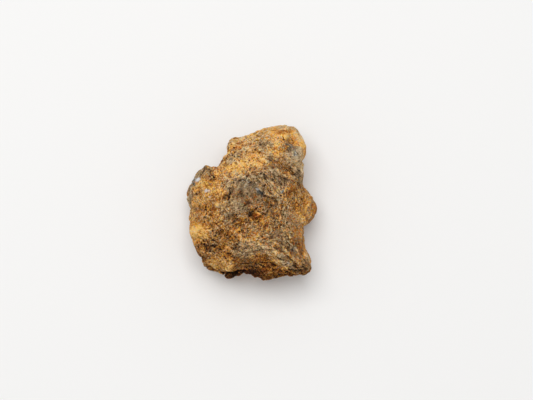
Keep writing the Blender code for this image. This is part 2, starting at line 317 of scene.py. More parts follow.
flow, close = flow_of(spots, facing)
patches = rise(cloud(spots, 2.2, 2, 63.0), 0, 0.5)
veined = np.maximum(close * upper, FAINT + IN_PATCHES * patches)
fine_fibres = fibres(spots, flow, *FINE_VEIN, 3.0) * veined
long_fibres = fibres(spots, flow, *LONG_VEIN, 17.0)
print("veins show at", veined.mean().round(2), "of their strength on average")

# %% [markdown]
# ## Broken grains and pits
# Rust eats the iron unevenly and leaves the harder grains standing, so the crust is rough at every size
# down to dust. Cell noise gives each grain a plane of its own tilt, the veins add fine ridges, and small
# pits and hairline cracks gather where the crust has fallen out. A few flanks are rubbed, so their relief
# is lower. Moving real vertices makes true shadows and a rough outline, which a bump map would not.

# %% Break the skin into grains
# All sizes in mm. Cells are bent by half their size, or they would look like cut facets, and the skin
# dips by the seam's depth where two of them meet
KNOB_SIZE = 1.4
LUMP_SIZE = 0.6
DUST_SIZE = 0.25
CELL_BEND = 0.5
SEAM_DEPTH = 0.3


def grains(points, size, seed):
    """How far each point stands out on tilted grains, and how far it is from its grain's middle."""
    height = np.empty(len(points))
    middle = np.empty(len(points))
    for i, point in enumerate(points):
        place = Vector(point) / size + Vector((seed, seed / 2, -seed))
        near, centres = noise.voronoi(place + wander(place * 0.9) * CELL_BEND)
        tilt = noise.cell_vector(centres[0] * 7.3 + Vector((0.5, 0.5, 0.5)))
        inside = min((near[1] - near[0]) * 3, 1)
        height[i] = (place - centres[0]).dot(tilt) + inside * SEAM_DEPTH - 0.2
        middle[i] = near[0]
    return height, middle


knobs, _ = grains(spots, KNOB_SIZE, 4.0)
lumps, _ = grains(spots, LUMP_SIZE, 11.0)
dust = cloud(spots, DUST_SIZE, 2, 5.0)
print("grains of", KNOB_SIZE, LUMP_SIZE, "and", DUST_SIZE, "mm")

# %% Pits and hairline cracks
# A pit sits in the middle of a cell: the gap is in mm and the radius is a share of it. A hairline crack
# runs where a slow noise is near zero: its swing is in mm and its width is a level of the noise
PIT_GAP = 0.48
PIT_RADIUS = 0.34
CRACK_SWING = 1.5
CRACK_WIDTH = 0.05

_, pit_middle = grains(spots, PIT_GAP, 37.0)
pitted = np.clip(cloud(spots, 2.0, 2, 51.0) * 3 + 0.2, 0, 1)
pits = np.clip(1 - pit_middle / PIT_RADIUS, 0, 1) * pitted

hairline = np.exp(-((cloud(spots, CRACK_SWING, 3, 73.0) / CRACK_WIDTH) ** 2))
hairline *= rise(cloud(spots, 2.2, 2, 88.0), 0, 0.25)
print("pits on", (pits > 0.1).mean().round(3), "and cracks on", (hairline > 0.1).mean().round(3))

# %% Places worn smooth
# Name: middle (x, y) in mm, half sizes along and across in mm, turn in degrees
WORN = {
    "head flank": ((6.3, 7.2), (0.8, 2.4), 8),
    "head crown": ((4.6, 9.0), (2.0, 0.7), 0),
    "knob": ((7.9, -0.6), (1.0, 2.4), 0),
    "horn flank": ((6.2, -5.4), (0.8, 2.6), 12),
    "left boss": ((-7.2, -3.5), (0.8, 0.8), 0),
    "grey hollow": ((-0.6, 0.8), (1.6, 1.2), -20),
}


def oval(points, middle, half, turn):
    """1 in the middle of an oval in plan, falling to 0 outside it."""
    cos, sin = math.cos(math.radians(turn)), math.sin(math.radians(turn))
    off = points[:, :2] - np.array(middle)
    along = (off[:, 0] * cos + off[:, 1] * sin) / half[0]
    across = (-off[:, 0] * sin + off[:, 1] * cos) / half[1]
    return np.exp(-((along**2 + across**2) ** 1.5) / 1.5)


worn = np.zeros(len(spots))
for middle, half, turn in WORN.values():
    worn = np.maximum(worn, oval(spots, middle, half, turn) * upper)
print("worn:", (worn > 0.4).mean().round(3), "of the skin")

# %% Lay the relief on the skin
# Heights and depths in mm. Patches of 2.6 mm are calm or rugged, and wear takes most of the relief off
KNOB_HEIGHT = 0.1
LUMP_HEIGHT = 0.06
DUST_HEIGHT = 0.06
FINE_VEIN_HEIGHT = 0.028
LONG_VEIN_HEIGHT = 0.04
PIT_DEPTH = 0.14
CRACK_DEPTH = 0.12
CALMEST = 0.4
MOST_RUGGED = 1.2
WORN_OFF = 0.75

rugged = np.clip(cloud(spots, 2.6, 2, 8.0) * 1.4 + 0.85, CALMEST, MOST_RUGGED)
rugged *= 1 - WORN_OFF * worn

relief = knobs * KNOB_HEIGHT + lumps * LUMP_HEIGHT + dust * DUST_HEIGHT
relief += fine_fibres * FINE_VEIN_HEIGHT + (1 - np.abs(long_fibres)) * veined * LONG_VEIN_HEIGHT
relief -= pits * PIT_DEPTH + hairline * CRACK_DEPTH
relief = (relief * rugged + lines * upper) * foot_share
put(skin, spots + facing * relief[:, None])
print("relief from", relief.min().round(2), "to", relief.max().round(2), "mm")

# %% [markdown]
# ## Where the surface is sunk
# Hollows are drawn darker and high places paler: partly dark oxide in the hollows and rubbing on the
# highs, partly painted shade in the hollows and painted light on the highs. The distance between the
# skin and a smoothed copy of itself says how sunk each spot is, at three sizes. It is kept on the mesh,
# so that the material can read it.

# %% Measure hollows and ridges
# Name: passes of smoothing, and the depth in mm that counts as fully sunk
SUNK = {"fine_sunk": (5, 0.05), "middle_sunk": (25, 0.12), "broad_sunk": (150, 0.35)}

spots = spots_of(skin)
facing = facing_of(skin)
sunk = {}
for name, (passes, depth) in SUNK.items():
    below = ((spread(spots, passes) - spots) * facing).sum(axis=1)
    sunk[name] = np.clip(below / depth, -1, 1)
    print(name, "on", (sunk[name] > 0.3).mean().round(3), "of the skin")

# %% [markdown]
# ## Zones of crust
# The crust isn't the same all over: yellow ochre where the rust is young, brown and black where it is
# old, grey where the iron or olivine shows. Some ochre zones also carry painted light on the faces and
# crests that catch the light, and some brown zones carry painted shade in the gaps, in the near hollow
# and along the near side. Each zone is an oval on the upper side with a ragged edge.
# Painting them by hand would need an image. A row gives an oval's name, its middle and half sizes in
# millimetres, its turn in degrees and its strength, and a zone can be moved by changing its row.

# %% Yellow ochre and painted light
# Young, dusty rust on slopes, rims and edges, and partly painted light: lit sides, slopes and crests
# that catch the light are drawn paler here
OCHRE_AND_PAINTED_LIGHT = {
    "bright slope": ((-0.4, 5.4), (2.2, 0.9), 14, 0.9),
    "slope's pale spot": ((-0.2, 6.1), (0.6, 0.5), 0, 0.4),
    "slope's right end": ((1.0, 4.6), (1.0, 0.6), 0, 1.3),
    "slope's left end": ((-2.0, 3.9), (1.5, 0.9), 10, 1.3),
    "head crown": ((3.2, 8.3), (2.2, 0.9), 6, 1.0),
    "crown's bright spot": ((2.7, 8.5), (0.6, 0.4), 0, 0.6),
    "head strip": ((6.3, 8.0), (0.5, 1.5), 14, 1.6),
    "step top": ((-1.3, 7.5), (1.3, 0.8), 20, 1.6),
    "left flat": ((-4.3, 1.0), (0.9, 1.2), -20, 1.15),
    "left rim": ((-6.4, 1.2), (1.0, 0.8), 0, 0.6),
    "left boss": ((-7.0, -4.4), (1.1, 0.9), 0, 2.4),
    "near slab": ((-3.4, -8.0), (1.5, 0.7), -12, 0.65),
    "knob": ((7.2, -0.2), (0.8, 2.0), 5, 0.15),
    "knob root": ((6.4, 1.6), (0.7, 1.0), 25, 0.4),
    "right body's lit side": ((6.1, -2.3), (0.6, 0.6), 0, 0.6),
    "spot by the ridges": ((4.3, -4.5), (0.5, 0.5), 0, 0.7),
    "flank's light": ((6.0, 6.1), (0.9, 1.4), 8, 0.6),
    "cleft's light": ((3.2, 4.9), (1.8, 0.6), -16, 0.7),
    "head's middle": ((3.0, 7.0), (0.5, 1.2), 0, 1.2),
    "head's back edge": ((3.4, 9.5), (1.9, 0.5), 0, 1.1),
    "crown's right end": ((5.2, 7.4), (0.9, 0.6), 0, 0.5),
    "facet's foot": ((5.3, 4.9), (1.1, 0.6), -20, 1.5),
    "slope's foot": ((-1.3, 2.4), (0.7, 0.7), 0, 0.8),
    "left ledge": ((-6.2, -0.5), (1.9, 0.5), 0, 0.6),
    "low left light": ((-2.0, -3.7), (0.9, 0.7), 0, 0.7),
    "middle low light": ((1.7, -2.8), (0.5, 0.7), 0, 0.8),
    "band's light": ((-3.2, -6.0), (0.9, 0.5), -10, 1.5),
    "light by the hollow": ((-0.5, -5.1), (0.7, 0.8), 0, 0.4),
    "light below the rim": ((2.9, -7.6), (0.5, 0.8), 0, 1.0),
    "side light": ((-6.2, 2.2), (1.5, 0.6), 0, 1.0),
    "head's lower edge": ((3.2, 5.7), (1.6, 0.5), -8, 0.4),
    "flank's foot": ((6.6, 4.2), (0.4, 1.6), 0, 0.8),
    "hollow's pale middle": ((-0.6, 1.3), (0.9, 0.7), 0, 0.2),
    "left flat's pale top": ((-4.3, 3.3), (0.4, 0.6), 0, 0.8),
    "ledge's right end": ((-4.5, -1.5), (0.4, 0.7), 0, 1.0),
    "slab's light": ((-4.4, -8.1), (1.1, 0.5), -20, 1.2),
    "ridges' light": ((5.1, -5.9), (0.35, 0.8), 10, 0.8),
    "horn's light": ((4.6, -8.3), (0.6, 0.6), 0, 0.6),
    "horn's tip light": ((7.2, -8.2), (0.4, 1.2), 0, 0.5),
    "knob's light": ((5.7, -2.5), (0.8, 0.7), -20, 0.8),
    "step's face light": ((-3.2, 5.9), (0.6, 0.5), 30, 1.2),
    "head's left edge": ((0.4, 8.8), (1.2, 0.5), 20, 1.0),
    "loop's light": ((1.3, 7.6), (0.5, 0.4), 0, 0.6),
    "right of the step": ((-0.2, 6.6), (0.6, 0.6), 0, 0.6),
    "slope's left light": ((-2.6, 3.2), (0.4, 0.9), 0, 0.5),
    "left edge's light": ((-8.0, -1.5), (0.5, 2.2), 0, 0.8),
    "hollow's left light": ((-2.2, -0.4), (0.6, 0.9), 0, 0.5),
    "right fleck": ((3.0, 0.5), (0.6, 0.4), 20, 0.6),
    "cleft's lower light": ((4.0, 3.1), (0.5, 0.4), -30, 0.8),
    "slope's left edge": ((-3.4, 5.2), (0.5, 0.7), 0, 0.6),
    "light beside the hollow": ((-1.5, -7.6), (0.5, 0.5), 0, 0.6),
    "right edge's light": ((6.9, -6.9), (0.4, 1.5), 10, 0.9),
    "bowl's light": ((1.2, -4.8), (2.0, 0.6), 0, 0.4),
    "hollow's right light": ((0.4, 3.4), (0.5, 1.0), 0, 0.2),
    "light by the slit": ((1.2, 1.4), (0.9, 0.4), 40, 0.8),
    "knob's middle light": ((6.8, -1.0), (0.8, 0.8), 0, 0.8),
    "cleft's right light": ((5.2, 3.4), (0.6, 0.6), 0, 0.7),
    "light in the hollow's middle": ((0.1, 0.8), (0.35, 0.7), 0, 0.5),
    "hollow's low light": ((0.0, -1.3), (0.4, 0.5), 0, 0.4),
    "left crest's light": ((-4.3, 3.2), (0.5, 0.8), 0, 0.6),
    "ledge's left light": ((-7.2, 3.4), (0.5, 0.6), 0, 0.5),
    "boss's light": ((-5.5, -3.3), (0.5, 0.6), 0, 0.7),
    "slope under the ledge": ((-3.9, -2.7), (0.8, 0.4), 10, 0.5),
    "low right light": ((4.9, -2.6), (0.4, 0.8), -30, 0.6),
    "right arc's light": ((4.0, -3.2), (0.7, 0.3), 15, 0.4),
    "near right edge's light": ((4.4, -9.7), (1.0, 0.4), 0, 0.7),
    "corner's light": ((-1.9, 8.0), (0.7, 0.5), 0, 0.8),
    "flank's middle light": ((3.6, 5.8), (0.4, 0.8), 0, 0.6),
    "near light's left": ((-3.6, -6.9), (0.6, 0.8), 0, 0.5),
    "hollow's lift": ((-0.9, 1.5), (1.1, 0.5), -20, 0.65),
    "facet's lift": ((5.5, 5.8), (0.5, 0.5), 0, 0.55),
    "slope's right light": ((1.3, 4.7), (0.4, 0.6), 0, 0.7),
    "cleft's long light": ((3.0, 3.3), (1.4, 0.4), -20, 0.45),
    "crown's lift": ((5.0, 8.3), (1.0, 0.5), 0, 0.5),
    "horn's crest light": ((6.0, -7.2), (0.9, 0.35), -55, 0.4),
    "middle crack's light": ((0.6, -2.1), (0.5, 0.5), 0, 0.6),
    "boss's corner": ((-7.1, -4.3), (0.7, 0.6), 0, 0.9),
    "hollow's broad light": ((-1.0, 2.2), (1.7, 1.2), -20, 0.25),
    "right body's middle light": ((3.4, -0.8), (0.6, 0.9), 0, 0.3),
    "light by the flat's hole": ((-3.9, 0.5), (0.4, 0.4), 0, 0.5),
    "rim's broad light": ((-1.8, -6.5), (0.8, 0.6), 0, 0.3),
}

# %% Brown and painted shade
# Old, dense rust in dips, holes, gaps and cracks, and partly painted shade: the gaps, the near hollow,
# the near edge and the rows named shade are drawn darker where shadow falls
BROWN_AND_PAINTED_SHADE = {
    "slope's dip": ((-2.1, 5.4), (0.8, 0.6), 20, 0.6),
    "dip by the hollow": ((1.4, 3.0), (0.9, 0.45), 0, 0.9),
    "dip under the cleft": ((3.9, 2.3), (1.0, 0.6), 0, 0.7),
    "left flat's dip": ((-4.9, 2.1), (0.9, 0.8), 0, 0.7),
    "rim's dip": ((-3.5, 1.4), (0.4, 0.6), 0, 0.8),
    "hollow's side": ((-0.7, -0.7), (0.7, 0.8), -20, 0.7),
    "right of the hollow": ((1.9, 0.4), (0.6, 1.3), 10, 0.7),
    "knob's end": ((8.4, -1.1), (0.4, 0.9), 0, 0.8),
    "right low dip": ((4.6, -3.0), (0.7, 0.9), 30, 1.0),
    "low dip": ((3.2, -3.6), (0.9, 0.5), 0, 0.8),
    "low left dip": ((-2.5, -5.3), (0.8, 0.6), -20, 1.1),
    "band's left dip": ((-5.2, -5.5), (0.8, 0.7), 0, 0.6),
    "lower left flank": ((-6.7, -7.4), (0.5, 1.3), 20, 0.9),
    "slab's dip": ((-2.8, -7.2), (1.2, 0.45), -20, 1.0),
    "ridges' dip": ((3.7, -5.9), (0.9, 0.5), -30, 0.5),
    # Painted shade along the near side, which faces away from the lamp, over brown crust
    "near edge": ((1.4, -10.0), (6.2, 0.7), 2, 1.7),
    "horn's near side": ((5.8, -8.9), (1.4, 0.6), 10, 0.9),
    "cleft's left end": ((2.4, 5.1), (0.5, 0.35), 0, 0.3),
    "cleft's lower spot": ((4.3, 2.5), (0.45, 0.4), 0, 0.4),
    "cleft's right end": ((5.9, 3.4), (0.8, 0.5), -20, 1.0),
    "head loop": ((1.7, 6.95), (0.6, 0.35), -10, 0.8),
    "head spot": ((4.9, 6.5), (0.5, 0.5), 0, 0.5),
    "crown's dark fleck": ((4.2, 8.8), (0.7, 0.3), 10, 0.7),
    "pit row": ((-3.8, 5.2), (0.7, 0.4), 20, 1.0),
    "groove beside the pits": ((-5.3, 3.5), (0.8, 0.4), 45, 0.9),
    "shoulder": ((-6.3, 4.4), (1.3, 0.5), 50, 0.6),
    "left flat's hole": ((-4.6, 0.0), (0.5, 0.35), 0, 1.0),
    "left flat's foot": ((-5.4, -1.5), (1.0, 0.3), -5, 0.5),
    "grey hollow's hole": ((-3.0, 0.3), (0.6, 0.35), 20, 1.5),
    "middle hole": ((0.0, -1.9), (0.5, 0.4), 0, 0.8),
    "left low hole": ((-2.6, -2.3), (0.6, 0.5), 0, 1.0),
    "lower left hole": ((-3.6, -4.2), (0.7, 0.4), -10, 1.0),
    "hole over the rim": ((1.9, -3.4), (0.35, 0.3), 0, 0.7),
    "rim's dark fleck": ((-1.9, -6.1), (0.5, 0.35), 0, 0.6),
    "band's right hole": ((-4.1, -6.0), (0.8, 0.4), -10, 1.5),
    "band's left hole": ((-6.1, -5.9), (0.9, 0.35), -10, 1.1),
    "near band": ((-5.2, -6.0), (2.2, 0.6), -10, 0.3),
    # Painted shadow in the near hollow and in the gaps under the slab and along the near side, over brown
    # crust
    "near hollow": ((-0.2, -8.4), (2.0, 0.7), -12, 1.0),
    "gap under the slab": ((-1.8, -9.4), (1.4, 0.35), -2, 2.6),
    "gap by the hollow": ((-0.4, -9.3), (1.2, 0.35), 0, 2.0),
    "left gap": ((-4.4, -9.3), (1.4, 0.4), -22, 2.2),
    "horn tip": ((6.8, -8.4), (1.0, 0.8), -20, 0.9),
    "grey hollow": ((-0.8, 1.4), (2.2, 1.2), -12, 0.35),
    "middle": ((0.8, -1.4), (1.8, 1.4), 0, 0.2),
    "low dip on the left": ((-3.0, -1.2), (0.5, 0.5), 0, 0.5),
    "low middle dip": ((-1.6, -2.7), (1.9, 0.4), 0, 0.7),
    "bowl's dip": ((2.0, -5.2), (1.0, 0.6), -10, 0.6),
    "head's top left": ((3.0, 8.7), (0.9, 0.4), 0, 0.4),
    "step's left end": ((-2.6, 7.4), (0.5, 0.5), 0, 0.4),
    "right of the fleck": ((5.0, 0.7), (0.6, 0.5), 0, 0.7),
    "right middle dip": ((2.6, -1.0), (0.7, 0.6), 0, 0.6),
    "left low dip": ((-5.0, -3.2), (1.1, 0.5), 0, 0.6),
    "horn's upper dip": ((6.1, -6.3), (0.4, 0.7), 0, 0.8),
    "cleft's dip": ((2.7, 4.4), (0.5, 0.6), 0, 0.6),
    "cleft's middle dip": ((4.7, 3.9), (0.4, 0.6), 0, 1.0),
    "slope's end dip": ((0.6, 6.0), (0.9, 0.5), 30, 0.4),
    "knob's root dip": ((6.0, -1.2), (0.7, 0.8), 0, 0.6),
    "dip over the knob": ((5.6, 2.4), (0.6, 0.4), 0, 0.6),
    "rim's right dip": ((1.7, -7.4), (0.5, 0.5), 0, 0.6),
    "spot by the glints": ((-6.8, 1.75), (0.22, 0.18), 30, 0.8),
    "spot under the glints": ((-7.1, 0.8), (0.3, 0.2), 0, 0.6),
    "slit by the hollow": ((1.6, 1.6), (0.25, 0.1), -5, 1.5),
    "rim's dip on the left": ((-1.5, -6.4), (0.9, 0.6), -10, 0.6),
    "left ledge's dip": ((-5.9, -1.0), (0.6, 0.4), -20, 0.7),
    "flank's dip": ((4.8, 6.1), (0.4, 0.4), 0, 0.6),
    "hollow's right end": ((3.0, -8.7), (1.2, 0.4), -15, 0.5),
    "cleft's lower dip": ((2.6, 2.8), (1.1, 0.5), -10, 0.5),
    "right of the dip": ((3.3, 1.6), (0.5, 0.6), 0, 0.4),
    "hollow's left dip": ((-1.1, 0.5), (0.5, 0.5), 0, 0.6),
    "dip beside the fleck": ((4.2, 0.4), (0.4, 0.5), 0, 0.5),
    "horn's groove dip": ((5.0, -7.3), (1.0, 0.35), -60, 0.6),
    "horn's dip": ((5.1, -5.4), (0.5, 0.7), 0, 0.4),
    "hollow's right fall": ((2.2, -8.5), (0.9, 0.6), -30, 0.6),
    "rim's left fall": ((-0.7, -7.1), (0.6, 0.5), 0, 0.5),
    "middle fall": ((0.4, -2.9), (0.6, 0.6), 0, 0.4),
    "bowl's upper dip": ((-0.2, -4.2), (1.3, 0.4), 0, 0.4),
    "slab's left fall": ((-5.8, -7.4), (0.7, 0.8), 0, 0.4),
    "upper middle crack": ((-0.55, -0.65), (0.55, 0.12), 30, 1.2),
    "lower middle crack": ((0.0, -2.1), (0.6, 0.13), -45, 1.0),
    "hollow's upper dip": ((0.4, 2.6), (1.2, 0.4), -25, 0.35),
    "flank's upper dip": ((4.4, 5.3), (0.4, 0.7), -20, 0.45),
    "strip's foot": ((6.5, 6.8), (0.4, 0.5), 0, 0.35),
    "left side's shade": ((-7.9, 0.8), (0.5, 0.8), 0, 0.35),
    "ledge's low dip": ((-6.1, -2.7), (0.5, 0.5), 0, 0.35),
    "band's upper dip": ((-2.9, -5.1), (0.5, 0.5), 0, 0.35),
    "right body's dip": ((2.2, -1.2), (0.5, 1.3), 10, 0.3),
    "right body's lower dip": ((4.1, -1.5), (0.4, 1.0), 0, 0.3),
    "horn's shade": ((6.5, -8.6), (0.8, 0.5), -15, 0.15),
    "cleft's upper dip": ((3.1, 4.1), (0.8, 0.4), 0, 0.3),
    "left crest's shade": ((-3.6, 3.6), (0.5, 0.7), 0, 0.35),
}

# %% Olive grey
# A thin crust over olivine and iron, in hollows and on worn rims, and a painted sheen on the head's strip
OLIVE = {
    "olive middle": ((-0.7, 1.8), (1.8, 1.1), -12, 0.75),
    "olive foot": ((-1.8, -0.9), (1.5, 0.9), -35, 0.65),
    "step's grey": ((-1.8, 7.2), (1.2, 0.8), 20, 0.5),
    # A painted sheen on the head's strip, drawn as pale olive
    "strip's sheen": ((6.2, 8.6), (0.4, 0.9), 20, 0.7),
    "round spot": ((2.9, 3.7), (0.6, 0.5), 0, 0.7),
    "cleft's grey": ((3.0, 2.8), (2.0, 0.8), -20, 0.7),
    "head flank": ((6.2, 5.8), (0.5, 1.2), 8, 1.0),
    "head facet": ((5.4, 5.9), (0.7, 0.6), -20, 1.5),
    "shoulder rim": ((-6.8, 3.9), (1.2, 0.5), 50, 0.8),
    "olive patch by the knob": ((4.6, -2.2), (0.6, 0.9), 0, 0.6),
    "near right": ((4.6, -5.4), (0.8, 1.8), 20, 0.45),
    "bowl": ((0.3, -6.0), (2.4, 0.6), -18, 0.5),
    "horn ridge": ((4.6, -8.1), (1.5, 0.4), -34, 0.7),
    "horn end": ((7.0, -8.0), (0.6, 0.9), -10, 0.7),
    "left flank's grey": ((-8.0, 1.2), (0.4, 1.4), 0, 0.8),
    "hollow's grey ring": ((0.4, 1.0), (3.6, 2.2), -10, 0.5),
    "head's grey": ((0.6, 7.6), (3.2, 1.3), 10, 0.4),
    "rim's grey": ((-3.3, 1.6), (0.5, 0.7), 0, 0.5),
    "side's grey": ((6.2, 3.5), (0.8, 0.9), 0, 1.2),
    "grey under the knob": ((5.8, -2.9), (0.6, 0.6), 0, 0.5),
    "bowl's grey": ((2.9, -5.2), (2.2, 0.8), -20, 0.5),
    "band's grey": ((-4.8, -5.7), (1.3, 0.6), -10, 0.4),
    "rim's low grey": ((-1.2, -6.8), (1.3, 0.7), -10, 0.7),
    "low grey": ((-2.8, -2.3), (0.8, 0.8), 0, 0.6),
    "right low grey": ((3.8, -3.3), (1.4, 0.6), 0, 0.5),
    "slope's left grey": ((-2.6, 5.2), (1.1, 0.6), 0, 0.6),
    "crown's grey": ((4.0, 9.6), (1.4, 0.4), 0, 0.6),
    "foot's grey": ((4.8, 4.6), (0.9, 0.6), 0, 0.8),
    "slope's right grey": ((2.3, 5.2), (0.8, 0.7), 0, 0.8),
    "loop's grey": ((1.6, 7.2), (0.8, 0.5), 0, 0.5),
}

# %% Magnetite and metal
# Blue grey, where the crust is nearly gone
STEEL = {
    "head dimple": ((5.0, 6.9), (0.5, 0.6), 0, 0.85),
    "facet's glint": ((5.6, 5.9), (0.4, 0.3), -20, 0.8),
    "hollow's blue fleck": ((1.1, 0.7), (0.6, 0.35), -30, 1.2),
    "hollow's upper fleck": ((-0.9, 2.0), (1.5, 0.75), -25, 0.7),
    "block": ((4.0, 0.9), (0.25, 0.6), 0, 0.9),
    "shoulder's metal": ((-7.6, 2.6), (0.8, 0.3), 60, 1.0),
    "knob's fleck": ((6.3, -0.4), (0.3, 0.3), 0, 0.7),
    "ridges' fleck": ((5.3, -6.4), (0.4, 0.8), 20, 0.6),
}

# %% Fresh rust
# Orange, where the iron still weeps
RUST = {
    "right spot": ((5.3, 1.4), (0.6, 0.4), 30, 0.9),
    "middle spots": ((0.3, -2.2), (0.6, 0.6), 20, 0.7),
    "left flat's rust": ((-4.3, 0.6), (0.7, 0.5), 0, 0.5),
    "step face": ((-2.3, 6.6), (1.0, 0.5), 20, 0.7),
    "hollow's orange": ((2.2, -8.6), (0.9, 0.4), -10, 0.3),
    "under the rim": ((1.3, -7.7), (0.8, 0.35), -20, 0.7),
    "hollow's brown": ((0.2, -9.4), (1.8, 0.6), -5, 0.8),
    "ridges' orange": ((5.3, -6.6), (0.5, 0.5), 0, 0.5),
    "step's orange": ((-1.3, 7.3), (0.6, 0.4), 0, 0.6),
}

# %% Porous crust
# Full of pinholes, where the iron has rotted out
POROUS = {
    "porous band": ((-5.2, -6.0), (2.4, 1.0), -10, 1.3),
    "porous slab": ((-3.8, -7.9), (1.8, 0.7), -12, 1.0),
    "porous left side": ((-6.2, -2.3), (1.4, 0.9), -20, 0.8),
    "porous pit row": ((-3.8, 5.2), (0.9, 0.5), 20, 1.0),
    "porous middle": ((0.6, -2.0), (1.4, 0.8), 0, 0.5),
}

# %% [markdown]
# ## Zones on the walls
# Seen from the side, an oval laid in plan would run down a wall as a stripe. So the zones fade where the
# skin is steep, and patches of noise lay the same finishes over the walls and the underside.

# %% Work the zones out on the skin
ZONES = {"ochre": OCHRE_AND_PAINTED_LIGHT, "brown": BROWN_AND_PAINTED_SHADE, "olive": OLIVE, "steel": STEEL, "rust": RUST, "porous": POROUS}

# Finish: size of its patches elsewhere in mm, seed, least noise that makes one
ELSEWHERE = {
    "ochre": (2.6, 31.0, 0.15),
    "brown": (2.2, 47.0, 0.1),
    "olive": (2.4, 59.0, 0.15),
    "steel": (1.6, 83.0, 0.4),
    "rust": (1.3, 71.0, 0.3),
    "porous": (2.8, 113.0, 0.1),
}

# A wall keeps this share of a zone, and skin that looks up by 16 degrees or more keeps it all. A zone's
# edge is shaken by a share of its smaller half size, up to a limit
WALL_SHARE = 0.3
EDGE_SHARE = 1.6
MOST_SHAKEN = 1.3
# Patches cover the walls up to the first of these, and are held back by the second where zones lie
MOST_COVERED = 0.9
HELD_BACK = 0.75

shown = upper * np.clip(WALL_SHARE + facing[:, 2] / 0.4, WALL_SHARE, 1)
finishes = {}
for name, zones in ZONES.items():
    total = np.zeros(len(spots))
    for middle, half, turn, strength in zones.values():
        ragged = spots + (shaken - spots) * min(min(half) * EDGE_SHARE, MOST_SHAKEN)
        total += oval(ragged, middle, half, turn) * strength * shown
    size, seed, least = ELSEWHERE[name]
    patches = np.clip((cloud(shaken, size, 3, seed) - least) * 2.2, 0, MOST_COVERED)
    total += patches * (1 - shown * HELD_BACK)
    finishes[name] = np.clip(total, 0, 2)
    print(name, "covers", (finishes[name] > 0.4).mean().round(3), "of the skin")

# %% [markdown]
# ## Bare spots and their painted glints
# Where the crust has chipped off, nickel-iron shows, drawn near white as small bright glints: the colour
# is a painted highlight for the light the bare metal throws back. Sparkles from fine noise would be
# spread evenly, so the larger glints have places of their own.

# %% Place the glints
# Name: middle (x, y) in mm, half sizes in mm, turn in degrees, strength
GLINTS = {
    "shoulder": ((-6.96, 2.82), (0.32, 0.24), 40, 1.0),
    "left flat, left": ((-5.85, 1.1), (0.22, 0.2), 0, 0.75),
    "left flat, right": ((-5.45, 1.1), (0.16, 0.16), 0, 0.5),
    "left flat, lower": ((-5.35, 0.28), (0.2, 0.14), 0, 0.45),
    "grey hollow": ((0.75, 1.25), (0.26, 0.14), -30, 0.6),
    "horn crest": ((4.7, -8.1), (0.4, 0.12), -34, 0.4),
}
glints = np.zeros(len(spots))
for middle, half, turn, strength in GLINTS.values():
    glints += oval(spots, middle, half, turn) * strength * upper
print("glints on", (glints > 0.2).sum(), "vertices")


# %% Keep the measurements on the mesh
def keep(name, values):
    """Stores one number for each vertex under a name that a material can read."""
    skin.attributes.new(name, "FLOAT", "POINT").data.foreach_set("value", values.astype(np.float32))


kept_numbers = {**sunk, **finishes, "glints": glints, "worn": worn}
kept_numbers.update(fine_fibres=fine_fibres, long_fibres=long_fibres)
for name, values in kept_numbers.items():
    keep(name, values)
print("kept", ", ".join(kept_numbers))

# %% [markdown]
# ## Weathered nickel-iron: the crust material
# Limonite and goethite are earthy iron oxides, from yellow ochre to nearly black brown, grown on the metal
# by weather. An earthy surface scatters the light, so the eye sees it dull and dusty: the roughness is
# high and the gloss is low. Grey zones show magnetite and worn metal, which are a little smoother and
# partly metallic. One material holds all of them, because on the real stone they run into each other.

# %% Helpers for colours and nodes
def linear(colour):
    """An sRGB hex colour as linear red, green, blue and alpha."""
    parts = [int(colour[i : i + 2], 16) / 255 for i in (1, 3, 5)]
    return (*[p / 12.92 if p <= 0.04045 else ((p + 0.055) / 1.055) ** 2.4 for p in parts], 1)


def add(tree, kind, settings=None, links=None):
    """Adds a node. Settings go by name, a ramp's stops among them. A link is a socket or a plain value."""
    node = tree.nodes.new("ShaderNode" + kind)
    for name, value in (settings or {}).items():
        if name == "stops":
            elements = node.color_ramp.elements
            elements.remove(elements[-1])
            for index, (position, colour) in enumerate(value.items()):
                element = elements[0] if index == 0 else elements.new(position)
                element.position = position
                element.color = linear(colour)
        else:
            setattr(node, name, value)
    for name, value in (links or {}).items():
        if isinstance(value, bpy.types.NodeSocket):
            tree.links.new(value, node.inputs[name])
        else:
            node.inputs[name].default_value = value
    return node


# %% Start the crust material
crust = bpy.data.materials.new("rusted nickel-iron")
crust.use_nodes = True
tree = crust.node_tree
tree.nodes.clear()
output = add(tree, "OutputMaterial")
shader = add(tree, "BsdfPrincipled")
tree.links.new(shader.outputs[0], output.inputs["Surface"])
place = add(tree, "TexCoord").outputs["Object"]
kept = {}
for name in kept_numbers:
    kept[name] = add(tree, "Attribute", {"attribute_name": name}).outputs["Fac"]
print("the material reads", len(kept), "numbers from the mesh")

# %% [markdown]
# ## Patterns of the crust
# Veins of oxide are a third of a millimetre wide, single grains an eighth, and patches of one tint span
# one and a half. Each pattern is noise of its own size, laid in the stone's own coordinates, so that it
# runs round every corner without a seam. One noise for all of them would look like a cloud.

# %% Noise patterns
# Name: size of the largest swells in mm, detail, roughness, distortion
PATTERNS = {
    "streaks": (0.36, 3.0, 0.75, 1.4),
    "speckle": (0.135, 2.0, 0.8, 0.6),
    "patchy": (1.5, 4.0, 0.6, 0.8),
    "greying": (0.3, 3.0, 0.8, 1.0),
    "tinting": (0.24, 2.0, 0.7, 1.0),
    "rusting": (0.45, 3.0, 0.7, 0.8),
    "steeling": (0.3, 2.0, 0.7, 1.0),
    "winding": (0.5, 2.0, 0.6, 1.2),
}
# Each pattern is looked up this much further along, so no two of them agree
APART = 13 * MM

